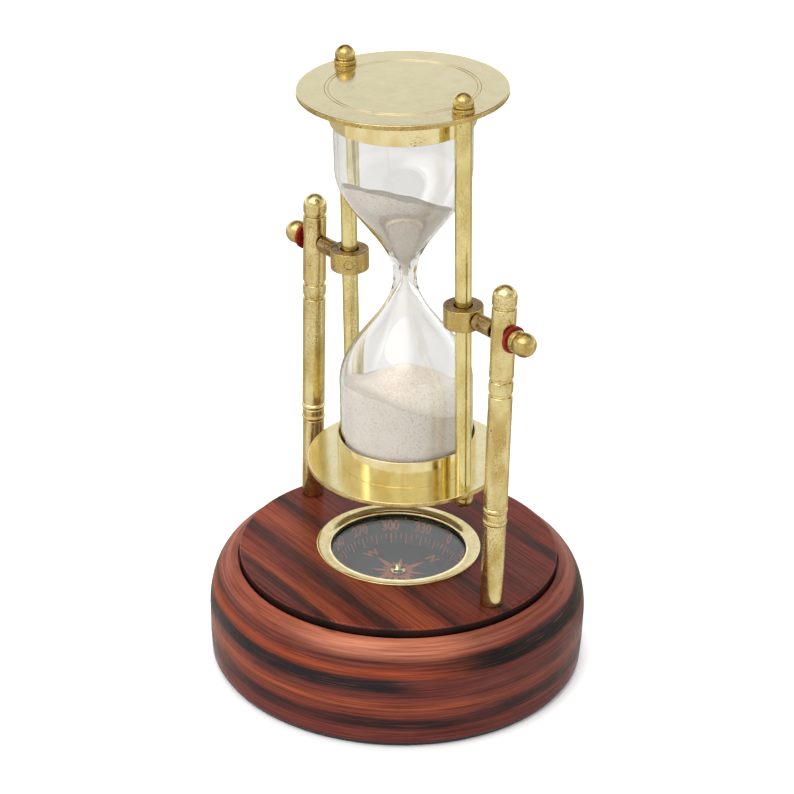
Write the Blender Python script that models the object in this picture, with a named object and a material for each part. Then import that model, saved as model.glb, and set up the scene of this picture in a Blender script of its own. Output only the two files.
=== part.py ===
"""A brass hourglass that turns over between two posts on a round rosewood base with a compass in it.

The base rests on z = 0 and its axis is the Z axis. The hourglass turns about a line along X.
Every length below is in millimetres, and MM turns it into Blender's metres.
"""

import math

import bmesh
import bpy
from mathutils import Matrix, Vector

MM = 0.001
GAP = 0.3                 # running and seating gap between neighbouring pieces

# Base
BASE_RADIUS = 50.8        # a 4 inch turning
FELT_RADIUS = 49.3
FELT_TOP = 1.0
SHOULDER_BOTTOM = 15.0    # the round shoulder's height above the table
SHOULDER_TOP = 28.6
RECESS_RADIUS = 43.2      # holds the raised top disc
RECESS_FLOOR = 26.9
DISC_RADIUS = 42.8
DISC_TOP = 31.2
POCKET_RADIUS = 21.1      # holds the compass
POCKET_FLOOR = 17.2

# Compass
CASE_RADIUS = 19.8
CASE_WALL = 0.8
CASE_TOP = 28.3
BEZEL_RADIUS = 22.05
BEZEL_OPENING = 18.2
BEZEL_SKIRT_BOTTOM = 24.0
BEZEL_SKIRT_WALL = 0.7
BEZEL_TOP = 31.9
BEZEL_INNER_TOP = 30.95
BEZEL_UNDERSIDE = 30.7
SEAL_THICKNESS = 0.3
GLASS_THICKNESS = 1.2
CARD_FLOOR = 22.35        # top of the card's flat middle
CARD_FLOOR_RADIUS = 15.08
CARD_RIM_RADIUS = 18.31
CARD_RIM_TOP = 28.15
CARD_THICKNESS = 0.35
CARD_HOLE = 1.6
CARD_NORTH_TURN = -2.8    # degrees from +Y to the card's north
MAGNET_SIZE = (1.6, 18.0, 0.9)
MAGNET_OFFSET = 4.0

# Posts
POST_X = 37.6
POST_RADIUS = 3.15
POST_TOP = 120.8
PIVOT_Z = 107.57
BORE_RADIUS = 1.6
SCREW_RADIUS = 1.3
SCREW_HEAD_RADIUS = 2.6
SCREW_HEAD_BOTTOM = 1.6
SCREW_HEAD_TOP = 3.4
SCREW_TOP = 40.0

# Hourglass frame, measured from the pivot line
REST_LEAN = 2.5           # degrees that the frame stands off upright when at rest
FRAME_UP = 53.86          # pivot to the top plate's outer face
FRAME_DOWN = 50.56        # pivot to the bottom plate's outer face
PLATE_RADIUS = 26.42
PLATE_THICKNESS = 1.26
ENGRAVED_RADIUS = 18.86
ENGRAVED_WIDTH = 0.9
ENGRAVED_DEPTH = 0.15
CUP_RADIUS = 18.37
CUP_WALL = 0.5
CUP_HEIGHT = 7.3
PAD_RADIUS = 17.0
PAD_THICKNESS = 1.1
ROD_X = 22.66
ROD_RADIUS = 2.15
ROD_STUB_RADIUS = 1.4
ROD_STUB_LENGTH = 2.9
FINIAL_RADIUS = 2.85
FINIAL_HEIGHT = 4.8
COLLAR_RADIUS = 5.14
COLLAR_HALF_HEIGHT = 2.76
COLLAR_BORE = 2.5
GRUB_RADIUS = 1.1
GRUB_HOLE = 1.4
GRUB_TURN = 42.0          # degrees that a collar's grub screw sits round the rod from the pivot line
PIN_RADIUS = 1.3
SPACER_RADIUS = 2.26
WASHER_RADIUS = 3.5
WASHER_THICKNESS = 0.8
KNOB_BALL_X = 45.2
KNOB_BALL_RADIUS = 3.15
KNOB_NECK_RADIUS = 2.75

# Glass bulb, measured from its neck
NECK_Z = 3.0              # above the pivot line
NECK_RADIUS = 3.0
NECK_BORE = 0.75
BULB_RADIUS = 17.5
BULB_FLARE = 30.0         # height from the neck to the full radius
BULB_WALL = 1.0
BULB_CORNER = 4.0
FILL_HOLE = 1.6
FILL_PLUG = 1.3
SAND_GAP = 0.35
SAND_BANK = 0.43          # slope of the sand that banked up on the -Y side when it was turned over
UPPER_SAND_LEVEL = 23.1   # on the glass's axis, above the pivot line
UPPER_SAND_FOOT = 4.0     # where the upper sand starts, above the neck
LOWER_SAND_LEVEL = -32.2  # the bank's height on the axis, against the pivot line
LOWER_SAND_PEAK = -22.0   # tip of the cone under the neck
SAND_REPOSE = 0.62        # slope of that cone

# name: (red, green, blue), roughness, metallic
FINISHES = {
    "polished_brass": ((0.82, 0.68, 0.34), 0.18, 1.0),
    "aged_brass": ((0.70, 0.55, 0.24), 0.32, 1.0),
    "rosewood": ((0.17, 0.055, 0.032), 0.35, 0.0),
    "rosewood_veneer": ((0.20, 0.062, 0.036), 0.3, 0.0),
    "felt": ((0.012, 0.012, 0.013), 0.95, 0.0),
    "clear_glass": ((0.93, 0.96, 0.95), 0.03, 0.0),
    "sand": ((0.78, 0.66, 0.52), 0.9, 0.0),
    "black_enamel": ((0.03, 0.03, 0.035), 0.35, 0.0),
    "black_rubber": ((0.015, 0.015, 0.015), 0.6, 0.0),
    "steel": ((0.55, 0.55, 0.55), 0.35, 1.0),
    "magnet": ((0.2, 0.2, 0.21), 0.5, 0.8),
    "red_fibre": ((0.42, 0.05, 0.03), 0.6, 0.0),
    "cork": ((0.45, 0.30, 0.17), 0.9, 0.0),
}


def clear_scene():
    for old in list(bpy.data.objects):
        bpy.data.objects.remove(old, do_unlink=True)


def finish(name):
    """The material of this finish, made the first time it is asked for."""
    if name in bpy.data.materials:
        return bpy.data.materials[name]
    colour, roughness, metallic = FINISHES[name]
    material = bpy.data.materials.new(name)
    material.use_nodes = True
    shader = material.node_tree.nodes["Principled BSDF"]
    shader.inputs["Base Color"].default_value = (*colour, 1.0)
    shader.inputs["Roughness"].default_value = roughness
    shader.inputs["Metallic"].default_value = metallic
    return material


def add_object(name, mesh, centre, axis, parent):
    """An object of this mesh, whose local Z is turned to lie along the given axis."""
    piece = bpy.data.objects.new(name, mesh)
    bpy.context.scene.collection.objects.link(piece)
    piece.location = Vector(centre) * MM
    if axis == "X":
        piece.rotation_euler = (0.0, math.radians(90.0), 0.0)
    elif axis == "-X":
        piece.rotation_euler = (0.0, math.radians(-90.0), 0.0)
    piece.parent = parent
    return piece


def turned(name, outline, steps, look, centre=(0, 0, 0), axis="Z", parent=None):
    """A solid of revolution from a closed outline of (radius, height) points."""
    shape = bmesh.new()
    points = [shape.verts.new(Vector((radius, 0.0, height)) * MM) for radius, height in outline]
    edges = [shape.edges.new((points[i - 1], points[i])) for i in range(len(points))]
    on_axis = [edge for edge in edges if all(abs(v.co.x) < 1e-9 for v in edge.verts)]
    for edge in on_axis:
        edges.remove(edge)
        shape.edges.remove(edge)
    bmesh.ops.spin(shape, geom=points + edges, cent=(0, 0, 0), axis=(0, 0, 1),
                   angle=math.tau, steps=steps, use_merge=True)
    bmesh.ops.remove_doubles(shape, verts=shape.verts[:], dist=1e-6)
    bmesh.ops.recalc_face_normals(shape, faces=shape.faces[:])
    mesh = bpy.data.meshes.new(name)
    shape.to_mesh(mesh)
    shape.free()
    mesh.shade_smooth()
    mesh.set_sharp_from_angle(angle=math.radians(35.0))
    mesh.materials.append(finish(look))
    return add_object(name, mesh, centre, axis, parent)


def box_mesh(name, size):
    shape = bmesh.new()
    bmesh.ops.create_cube(shape, size=1.0, matrix=Matrix.Diagonal((*(Vector(size) * MM), 1.0)))
    mesh = bpy.data.meshes.new(name)
    shape.to_mesh(mesh)
    shape.free()
    return mesh


def cut(piece, tool):
    """Cuts the tool's shape from the piece, and hides the tool."""
    tool.hide_render = True
    tool.display_type = "WIRE"
    hole = piece.modifiers.new("cut_" + tool.name, "BOOLEAN")
    hole.operation = "DIFFERENCE"
    hole.solver = "EXACT"
    hole.object = tool


def drill(piece, radius, low, high, centre=(0, 0, 0), axis="Z", parent=None, steps=12):
    """Drills a round hole between two heights along the axis, and gives the drill back."""
    outline = [(0, low), (radius, low), (radius, high), (0, high)]
    tool = turned(piece.name + "_drill", outline, steps, "steel", centre, axis, parent)
    cut(piece, tool)
    return tool


def ring(inner, outer, low, high):
    return [(inner, low), (outer, low), (outer, high), (inner, high)]


def disc(radius, low, high, chamfer=0.0):
    if not chamfer:
        return [(0, low), (radius, low), (radius, high), (0, high)]
    return [(0, low), (radius - chamfer, low), (radius, low + chamfer),
            (radius, high - chamfer), (radius - chamfer, high), (0, high)]


def arc(radius_centre, height_centre, radius, height, start, end, count):
    """Points on an ellipse's arc, from start to end in degrees, both ends included."""
    angles = [math.radians(start + (end - start) * i / count) for i in range(count + 1)]
    return [(radius_centre + radius * math.cos(a), height_centre + height * math.sin(a))
            for a in angles]


def add_base():
    turned("felt_pad", disc(FELT_RADIUS, 0.0, FELT_TOP), 40, "felt")
    bottom = FELT_TOP + GAP
    shoulder = arc(RECESS_RADIUS, SHOULDER_BOTTOM, BASE_RADIUS - RECESS_RADIUS,
                   SHOULDER_TOP - SHOULDER_BOTTOM, 0, 90, 8)
    outline = [(0, bottom), (BASE_RADIUS - 1.0, bottom), (BASE_RADIUS - 0.5, bottom + 0.6),
               (BASE_RADIUS - 0.15, 7.0)]
    outline += shoulder
    outline += [(RECESS_RADIUS, RECESS_FLOOR), (POCKET_RADIUS, RECESS_FLOOR),
                (POCKET_RADIUS, POCKET_FLOOR), (0, POCKET_FLOOR)]
    body = turned("base_body", outline, 48, "rosewood")
    edge = 0.5
    top = [(POCKET_RADIUS, RECESS_FLOOR + GAP), (DISC_RADIUS, RECESS_FLOOR + GAP),
           (DISC_RADIUS, DISC_TOP - edge), (DISC_RADIUS - 0.15, DISC_TOP - 0.15),
           (DISC_RADIUS - edge, DISC_TOP), (POCKET_RADIUS, DISC_TOP)]
    top_disc = turned("base_top_disc", top, 48, "rosewood_veneer")
    for x in (-POST_X, POST_X):
        drill(body, SCREW_RADIUS + GAP, 0.0, RECESS_FLOOR + 1.0, (x, 0, 0))
        drill(body, SCREW_HEAD_RADIUS + 0.4, 0.0, SCREW_HEAD_TOP + 1.0, (x, 0, 0))
        drill(top_disc, SCREW_RADIUS + GAP, RECESS_FLOOR - 1.0, DISC_TOP + 1.0, (x, 0, 0))


def add_compass_housing():
    case_bottom = POCKET_FLOOR + GAP
    case_inner = CASE_RADIUS - CASE_WALL
    case_floor = case_bottom + 1.0
    turned("compass_case",
           [(0, case_bottom), (CASE_RADIUS, case_bottom), (CASE_RADIUS, CASE_TOP),
            (case_inner, CASE_TOP), (case_inner, case_floor), (0, case_floor)],
           36, "aged_brass")
    skirt_inner = CASE_RADIUS + GAP
    skirt_outer = skirt_inner + BEZEL_SKIRT_WALL
    flange = DISC_TOP + GAP
    lip = BEZEL_RADIUS - 0.5
    outline = [(skirt_inner, BEZEL_SKIRT_BOTTOM), (skirt_outer, BEZEL_SKIRT_BOTTOM),
               (skirt_outer, flange), (BEZEL_RADIUS, flange), (BEZEL_RADIUS, BEZEL_TOP - 0.15),
               (BEZEL_RADIUS - 0.15, BEZEL_TOP)]
    outline += arc(lip, BEZEL_INNER_TOP, BEZEL_OPENING - lip, BEZEL_TOP - BEZEL_INNER_TOP, 90, 30, 3)
    outline += [(BEZEL_OPENING, BEZEL_INNER_TOP), (BEZEL_OPENING, BEZEL_UNDERSIDE),
                (skirt_inner, BEZEL_UNDERSIDE)]
    turned("compass_bezel", outline, 36, "polished_brass")
    seal_top = BEZEL_UNDERSIDE - GAP
    seal_bottom = seal_top - SEAL_THICKNESS
    turned("compass_seal", ring(BEZEL_OPENING - 0.2, CASE_RADIUS, seal_bottom, seal_top),
           32, "black_rubber")
    glass_top = seal_bottom - GAP
    turned("compass_glass", disc(CASE_RADIUS, glass_top - GLASS_THICKNESS, glass_top),
           32, "clear_glass")
    stand = case_floor + GAP
    turned("compass_pivot",
           [(0, stand), (2.5, stand), (2.5, stand + 0.6), (0.8, stand + 0.8),
            (0.8, CARD_FLOOR - 0.6), (0.12, CARD_FLOOR + 1.0), (0, CARD_FLOOR + 1.0)],
           12, "steel")


def add_compass_card():
    """The dished card, its cap and its two magnets, which turn together on the pivot's point."""
    card_pivot = bpy.data.objects.new("compass_card_pivot", None)
    bpy.context.scene.collection.objects.link(card_pivot)
    card_pivot.rotation_euler = (0.0, 0.0, math.radians(CARD_NORTH_TURN))
    underside = CARD_FLOOR - CARD_THICKNESS
    turned("compass_card",
           [(CARD_HOLE, underside), (CARD_FLOOR_RADIUS + 0.3, underside),
            (CARD_RIM_RADIUS + 0.34, CARD_RIM_TOP - 0.05), (CARD_RIM_RADIUS, CARD_RIM_TOP),
            (CARD_FLOOR_RADIUS, CARD_FLOOR), (CARD_HOLE, CARD_FLOOR)],
           36, "black_enamel", parent=card_pivot)
    seat = CARD_FLOOR + GAP
    turned("compass_cap",
           [(1.2, seat), (2.2, seat), (2.2, seat + 0.5), (1.3, seat + 1.0),
            (0.8, seat + 1.9), (0, seat + 2.1), (0, seat + 1.4)],
           12, "polished_brass", parent=card_pivot)
    magnet_z = underside - GAP - MAGNET_SIZE[2] / 2
    for side, x in (("west", -MAGNET_OFFSET), ("east", MAGNET_OFFSET)):
        name = "compass_magnet_" + side
        mesh = box_mesh(name, MAGNET_SIZE)
        mesh.materials.append(finish("magnet"))
        add_object(name, mesh, (x, 0, magnet_z), "Z", card_pivot)


def post_outline():
    """Down the screw hole, out under the foot, then up the outside to the domed tip."""
    foot = DISC_TOP + GAP
    outline = [(0, SCREW_TOP + 1.0), (BORE_RADIUS, SCREW_TOP + 1.0), (BORE_RADIUS, foot),
               (2.85, foot), (3.0, foot + 0.3), (3.0, 54.7)]
    outline += [(3.25, 55.1), (3.25, 55.8), (2.85, 56.2), (3.0, 56.6), (3.0, 57.8), (2.85, 58.1)]
    outline += [(3.25, 58.5), (3.25, 59.2), (2.9, 59.6), (3.1, 60.0), (3.1, 90.9), (2.75, 91.3)]
    outline += [(2.75, 91.8), (3.15, 92.2), (3.15, 95.0), (2.75, 95.4), (2.75, 95.9)]
    outline += [(POST_RADIUS, 96.3), (POST_RADIUS, 114.6), (2.75, 115.0), (2.75, 115.5)]
    outline += [(POST_RADIUS, 115.9)]
    outline += arc(0, POST_TOP - 3.1, POST_RADIUS, 3.1, 0, 90, 4)[:-1]
    return outline + [(0, POST_TOP)]


def add_post(side, x):
    post = turned("post_" + side, post_outline(), 12, "aged_brass", (x, 0, 0))
    drill(post, BORE_RADIUS, -5.0, 5.0, (x, 0, PIVOT_Z), "X")
    screw = turned("post_screw_" + side,
                   [(0, SCREW_HEAD_BOTTOM), (SCREW_HEAD_RADIUS, SCREW_HEAD_BOTTOM),
                    (SCREW_HEAD_RADIUS, SCREW_HEAD_TOP), (SCREW_RADIUS, SCREW_HEAD_TOP),
                    (SCREW_RADIUS, SCREW_TOP - 0.6), (0.8, SCREW_TOP), (0, SCREW_TOP)],
                   12, "steel", (x, 0, 0))
    slot = add_object(screw.name + "_slot", box_mesh("slot", (8.0, 0.7, 1.4)),
                      (x, 0, SCREW_HEAD_BOTTOM), "Z", None)
    cut(screw, slot)


def add_plate(side, outer_face, outward, frame):
    """One end plate, with the engraved ring on its outer face and two holes for the rods."""
    groove_in = ENGRAVED_RADIUS - ENGRAVED_WIDTH / 2
    groove_out = ENGRAVED_RADIUS + ENGRAVED_WIDTH / 2
    chamfer = 0.2
    profile = [(0, -PLATE_THICKNESS), (PLATE_RADIUS - chamfer, -PLATE_THICKNESS),
               (PLATE_RADIUS, chamfer - PLATE_THICKNESS), (PLATE_RADIUS, -chamfer),
               (PLATE_RADIUS - chamfer, 0), (groove_out, 0),
               (groove_out - 0.1, -ENGRAVED_DEPTH), (groove_in + 0.1, -ENGRAVED_DEPTH),
               (groove_in, 0), (0, 0)]
    outline = [(radius, outer_face + outward * height) for radius, height in profile]
    plate = turned(side + "_plate", outline, 36, "polished_brass", parent=frame)
    for x in (-ROD_X, ROD_X):
        drill(plate, ROD_STUB_RADIUS + GAP, outer_face - 3.0, outer_face + 3.0,
              (x, 0, 0), parent=frame)


def add_cup(side, outer_face, outward, frame):
    """The cup that holds one end of the glass, and the cushion pad in it."""
    inner = CUP_RADIUS - CUP_WALL
    profile = [(0, 0), (CUP_RADIUS - 0.2, 0), (CUP_RADIUS, -0.2), (CUP_RADIUS, -CUP_HEIGHT),
               (inner, -CUP_HEIGHT), (inner, -CUP_WALL), (0, -CUP_WALL)]
    seat = outer_face - outward * (PLATE_THICKNESS + GAP)
    outline = [(radius, seat + outward * height) for radius, height in profile]
    turned(side + "_cup", outline, 36, "polished_brass", parent=frame)
    pad_face = seat - outward * (CUP_WALL + GAP)
    pad_end = pad_face - outward * PAD_THICKNESS
    turned(side + "_glass_pad", disc(PAD_RADIUS, min(pad_face, pad_end), max(pad_face, pad_end)),
           24, "cork", parent=frame)
    return pad_end - outward * GAP


def bulb_radius(distance):
    """The glass's outer radius at this distance from the neck, a raised cosine."""
    rise = 0.5 - 0.5 * math.cos(math.pi * min(distance / BULB_FLARE, 1.0))
    return NECK_RADIUS + (BULB_RADIUS - NECK_RADIUS) * rise


def bore_radius(distance):
    """The glass's inner radius. The wall thickens towards the neck."""
    extra = NECK_RADIUS - NECK_BORE - BULB_WALL
    return bulb_radius(distance) - BULB_WALL - extra * math.exp(-(distance / 5.0) ** 2)


def add_glass(top_end, bottom_end, frame):
    """The blown glass, open at its lower end through the fill hole, and the hole's plug."""
    stations = [0.0, 4.0, 8.0, 12.0, 16.0, 20.0, 25.0, BULB_FLARE]
    above = top_end - NECK_Z
    below = NECK_Z - bottom_end
    up = [(bulb_radius(t), NECK_Z + t) for t in stations]
    down = [(bulb_radius(t), NECK_Z - t) for t in reversed(stations[1:])]
    side = BULB_RADIUS - BULB_CORNER
    dome = arc(side, NECK_Z + above - BULB_CORNER, BULB_CORNER, BULB_CORNER, 0, 90, 3)
    heel = arc(side, NECK_Z - below + BULB_CORNER, BULB_CORNER, BULB_CORNER, -90, 0, 3)
    inside_up = [(bore_radius(t), NECK_Z + t) for t in reversed(stations)]
    inside_down = [(bore_radius(t), NECK_Z - t) for t in stations[1:]]
    inner = BULB_CORNER - BULB_WALL
    dome_in = arc(side, NECK_Z + above - BULB_CORNER, inner, inner, 90, 0, 3)
    heel_in = arc(side, NECK_Z - below + BULB_CORNER, inner, inner, 0, -90, 3)
    outline = [(FILL_HOLE, bottom_end)] + heel + down + up + dome
    outline += [(0, top_end), (0, top_end - BULB_WALL)] + dome_in + inside_up + inside_down
    outline += heel_in + [(FILL_HOLE, bottom_end + BULB_WALL)]
    turned("glass_bulb", outline, 24, "clear_glass", parent=frame)
    turned("fill_plug", disc(FILL_PLUG, bottom_end, bottom_end + BULB_WALL), 10, "cork",
           parent=frame)


def sand_body(name, foot, radius_at, surface, frame, columns=20, walls=7, inner=3):
    """Sand from its foot up the glass's wall, under a free surface given by its height at x, y."""
    shape = bmesh.new()
    rows = []
    for step in range(columns):
        angle = math.tau * step / columns
        across = Vector((math.cos(angle), math.sin(angle)))
        rim = surface(0.0, 0.0)
        for _ in range(30):
            rim = surface(*(across * radius_at(rim)))
        heights = [foot + (rim - foot) * i / walls for i in range(walls + 1)]
        points = [(across * radius_at(height), height) for height in heights]
        for i in range(1, inner + 1):
            place = across * radius_at(rim) * (1.0 - i / (inner + 1))
            points.append((place, surface(*place)))
        rows.append([shape.verts.new(Vector((*place, height)) * MM) for place, height in points])
    bottom = shape.verts.new(Vector((0, 0, foot)) * MM)
    top = shape.verts.new(Vector((0, 0, surface(0.0, 0.0))) * MM)
    for row, following in zip(rows, rows[1:] + rows[:1]):
        shape.faces.new((bottom, following[0], row[0]))
        shape.faces.new((top, row[-1], following[-1]))
        for i in range(len(row) - 1):
            shape.faces.new((row[i], following[i], following[i + 1], row[i + 1]))
    bmesh.ops.triangulate(shape, faces=shape.faces[:])
    bmesh.ops.recalc_face_normals(shape, faces=shape.faces[:])
    mesh = bpy.data.meshes.new(name)
    shape.to_mesh(mesh)
    shape.free()
    mesh.materials.append(finish("sand"))
    add_object(name, mesh, (0, 0, 0), "Z", frame)


def add_sand(bottom_end, frame):
    floor = bottom_end + BULB_WALL + SAND_GAP
    corner = BULB_CORNER - BULB_WALL

    def inside(height):
        radius = bore_radius(abs(height - NECK_Z)) - SAND_GAP
        if height < floor + corner:
            rise = floor + corner - height
            radius += math.sqrt(max(corner ** 2 - rise ** 2, 0.0)) - corner
        return radius

    def upper_surface(x, y):
        return UPPER_SAND_LEVEL - SAND_BANK * y

    def lower_surface(x, y):
        bank = LOWER_SAND_LEVEL - SAND_BANK * y
        return max(bank, LOWER_SAND_PEAK - SAND_REPOSE * math.hypot(x, y))

    sand_body("upper_sand", NECK_Z + UPPER_SAND_FOOT, inside, upper_surface, frame)
    sand_body("lower_sand", floor, inside, lower_surface, frame)


def add_rod(side, x, frame):
    low = PLATE_THICKNESS + GAP - FRAME_DOWN
    high = FRAME_UP - PLATE_THICKNESS - GAP
    stub_low = -FRAME_DOWN - ROD_STUB_LENGTH
    stub_high = FRAME_UP + ROD_STUB_LENGTH
    turned("rod_" + side,
           [(0, stub_low), (ROD_STUB_RADIUS, stub_low), (ROD_STUB_RADIUS, low),
            (ROD_RADIUS, low), (ROD_RADIUS, high), (ROD_STUB_RADIUS, high),
            (ROD_STUB_RADIUS, stub_high), (0, stub_high)],
           14, "polished_brass", (x, 0, 0), parent=frame)


def add_finial(name, x, outer_face, outward, frame):
    """An acorn nut: a collar ring, a groove and a dome, with a blind hole for the rod's stub."""
    hole = ROD_STUB_RADIUS + GAP
    depth = ROD_STUB_LENGTH + 0.5
    profile = [(hole, GAP), (FINIAL_RADIUS, GAP), (FINIAL_RADIUS, 1.2), (2.35, 1.5)]
    profile += arc(0, 2.2, 2.6, FINIAL_HEIGHT - 2.2, 0, 90, 3)[:-1]
    profile += [(0, FINIAL_HEIGHT), (0, depth), (hole, depth)]
    outline = [(radius, outer_face + outward * height) for radius, height in profile]
    turned(name, outline, 12, "polished_brass", (x, 0, 0), parent=frame)


def add_pivot(side, sign, frame):
    """One side's pivot: collar on the rod, grub screw, pin, spacer, fibre washer and knob."""
    axis = "X" if sign > 0 else "-X"
    rod = (sign * ROD_X, 0, 0)
    half = COLLAR_HALF_HEIGHT
    collar = turned("collar_" + side,
                    [(COLLAR_BORE, -half), (COLLAR_RADIUS - 0.2, -half),
                     (COLLAR_RADIUS, 0.2 - half), (COLLAR_RADIUS, half - 0.2),
                     (COLLAR_RADIUS - 0.2, half), (COLLAR_BORE, half)],
                    20, "aged_brass", rod, parent=frame)
    drill(collar, BORE_RADIUS, 0.0, 8.0, rod, axis, frame)
    grub_hole = drill(collar, GRUB_HOLE, -8.0, 0.0, rod, axis, frame)
    grub = disc(GRUB_RADIUS, 0.35 - COLLAR_RADIUS, -ROD_RADIUS - GAP - 0.1)
    screw = turned("collar_screw_" + side, grub, 10, "aged_brass", rod, axis, frame)
    for turning in (grub_hole, screw):
        turning.rotation_euler.z = math.radians(sign * GRUB_TURN)
    line = (0, 0, 0)
    pin_start = ROD_X + ROD_RADIUS + GAP + 0.1
    pin_end = KNOB_BALL_X - 0.5
    turned("pivot_pin_" + side, disc(PIN_RADIUS, pin_start, pin_end), 12, "aged_brass",
           line, axis, frame)
    spacer = ring(BORE_RADIUS, SPACER_RADIUS, ROD_X + COLLAR_RADIUS + GAP,
                  POST_X - POST_RADIUS - GAP)
    turned("spacer_" + side, spacer, 16, "aged_brass", line, axis, frame)
    washer_start = POST_X + POST_RADIUS + GAP
    washer_end = washer_start + WASHER_THICKNESS
    turned("fibre_washer_" + side, ring(BORE_RADIUS, WASHER_RADIUS, washer_start, washer_end),
           20, "red_fibre", line, axis, frame)
    knob_start = washer_end + GAP
    outline = [(BORE_RADIUS, knob_start), (KNOB_NECK_RADIUS, knob_start),
               (KNOB_NECK_RADIUS, knob_start + 0.9), (2.35, knob_start + 1.2)]
    outline += arc(0, KNOB_BALL_X, KNOB_BALL_RADIUS, KNOB_BALL_RADIUS, -30, 90, 5)[:-1]
    outline += [(0, KNOB_BALL_X + KNOB_BALL_RADIUS), (0, pin_end + GAP),
                (BORE_RADIUS, pin_end + GAP)]
    turned("knob_" + side, outline, 16, "aged_brass", line, axis, frame)


def add_hourglass():
    frame = bpy.data.objects.new("hourglass_pivot", None)
    bpy.context.scene.collection.objects.link(frame)
    frame.location = Vector((0, 0, PIVOT_Z)) * MM
    frame.rotation_euler = (math.radians(REST_LEAN), 0.0, 0.0)
    ends = {}
    for side, outer_face, outward in (("top", FRAME_UP, 1), ("bottom", -FRAME_DOWN, -1)):
        add_plate(side, outer_face, outward, frame)
        ends[side] = add_cup(side, outer_face, outward, frame)
        for hand, x in (("left", -ROD_X), ("right", ROD_X)):
            add_finial("finial_" + side + "_" + hand, x, outer_face, outward, frame)
    add_glass(ends["top"], ends["bottom"], frame)
    add_sand(ends["bottom"], frame)
    for hand, sign in (("left", -1), ("right", 1)):
        add_rod(hand, sign * ROD_X, frame)
        add_pivot(hand, sign, frame)


def build():
    clear_scene()
    add_base()
    add_compass_housing()
    add_compass_card()
    add_post("left", -POST_X)
    add_post("right", POST_X)
    add_hourglass()


build()
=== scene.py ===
"""Looks of a brass hourglass that turns over between two posts on a rosewood base with a compass.

Outlines are (radius, height) points in millimetres, and MM turns them into Blender's metres. A third
number in a point is the rounding of that corner. The pieces of the hourglass are drawn about their own
axis and then set at the pivot, with the frame's rest lean.
"""
import math

import bmesh
import bpy
from mathutils import Matrix, Vector, noise


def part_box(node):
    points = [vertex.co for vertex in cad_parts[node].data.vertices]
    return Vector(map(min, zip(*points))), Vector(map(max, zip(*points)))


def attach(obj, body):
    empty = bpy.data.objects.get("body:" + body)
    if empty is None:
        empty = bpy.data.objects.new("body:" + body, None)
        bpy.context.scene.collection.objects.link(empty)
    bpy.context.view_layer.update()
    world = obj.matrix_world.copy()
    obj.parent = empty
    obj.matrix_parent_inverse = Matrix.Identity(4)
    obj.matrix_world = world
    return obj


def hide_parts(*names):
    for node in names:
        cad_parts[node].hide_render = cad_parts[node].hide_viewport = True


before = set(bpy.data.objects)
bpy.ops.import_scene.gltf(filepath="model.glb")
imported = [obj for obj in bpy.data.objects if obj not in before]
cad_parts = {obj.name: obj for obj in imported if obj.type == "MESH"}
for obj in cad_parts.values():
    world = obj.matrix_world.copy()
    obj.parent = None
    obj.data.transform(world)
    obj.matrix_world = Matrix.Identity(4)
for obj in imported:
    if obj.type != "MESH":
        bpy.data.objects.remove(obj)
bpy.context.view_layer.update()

MM = 0.001


def mm_box(node):
    """A CAD node's lowest and highest corners in millimetres."""
    low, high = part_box(node)
    return low / MM, high / MM


# Driving sizes, from the CAD frame
BASE_RADIUS = mm_box("base_body")[1].x
BASE_BOTTOM = mm_box("base_body")[0].z
DISC_RADIUS = mm_box("base_top_disc")[1].x
DISC_TOP = mm_box("base_top_disc")[1].z
BEZEL_TOP = mm_box("compass_bezel")[1].z
POST_X = (mm_box("post_right")[0].x + mm_box("post_right")[1].x) / 2
POST_TOP = mm_box("post_right")[1].z
PIVOT_Z = (mm_box("knob_right")[0].z + mm_box("knob_right")[1].z) / 2
KNOB_TIP = mm_box("knob_right")[1].x
REST_LEAN = 2.5           # degrees that the hourglass stands off upright

# Base
FELT_RADIUS = 49.3
SHOULDER_BOTTOM = 15.0
SHOULDER_TOP = 28.6
RECESS_RADIUS = 43.2
RECESS_FLOOR = 26.9
POCKET_RADIUS = 21.1
POCKET_FLOOR = 17.2
SEAT = 0.02               # gap between faces that rest on each other

# Compass
BEZEL_RADIUS = 22.05
BEZEL_OPENING = 18.2
BEZEL_INNER_TOP = 30.95
SEAL_TOP = 30.6
GLASS_TOP = 30.1
GLASS_UNDERSIDE = 28.9
CASE_RADIUS = 19.8
CASE_WALL = 0.8
CASE_BOTTOM = 17.5
CASE_FLOOR = 18.5
CASE_TOP = 28.6
SKIRT_WALL = 0.7          # the bezel's skirt, which the case hangs in
SKIRT_BOTTOM = 24.0
CARD_FLOOR = 22.35
CARD_FLOOR_RADIUS = 15.08
CARD_RIM_RADIUS = 18.31
CARD_RIM_TOP = 28.15
CARD_THICKNESS = 0.35
CARD_HOLE = 1.6
CARD_NORTH = 87.2         # degrees from +X to the card's north
INK = 0.03                # thickness of the printed marks
INK_FOOT = 0.002          # height of their underside above the card
TICK_START = 3.72         # down the dish's slope from its rim
LONG_TICK = (2.7, 0.18)   # length and half width
SHORT_TICK = (1.45, 0.15)
TICK_RADIUS = 16.0
NUMERAL_HEIGHT = 2.8
NUMERAL_WIDTH = 0.92      # share of its natural width
NUMERAL_START = 1.5       # its middle, down the slope from the rim
NUMERAL_RADIUS = 17.7
LETTER_HEIGHT = 3.1
LETTER_RADIUS = 11.9
LETTERS = ((0, "N"), (90, "E"), (180, "S"), (270, "W"))
ROSE_POINTS = (           # first heading, step, length and half width of each kind of point
    (22.5, 45.0, 5.4, 0.55), (45.0, 90.0, 7.6, 0.85), (0.0, 90.0, 9.4, 1.15))
ROSE_HEART = 1.9
ROSE_WAIST = 2.6          # radius where the points are widest
ROSE_LAYER = 0.012        # rise of each kind of point above the one before

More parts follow.
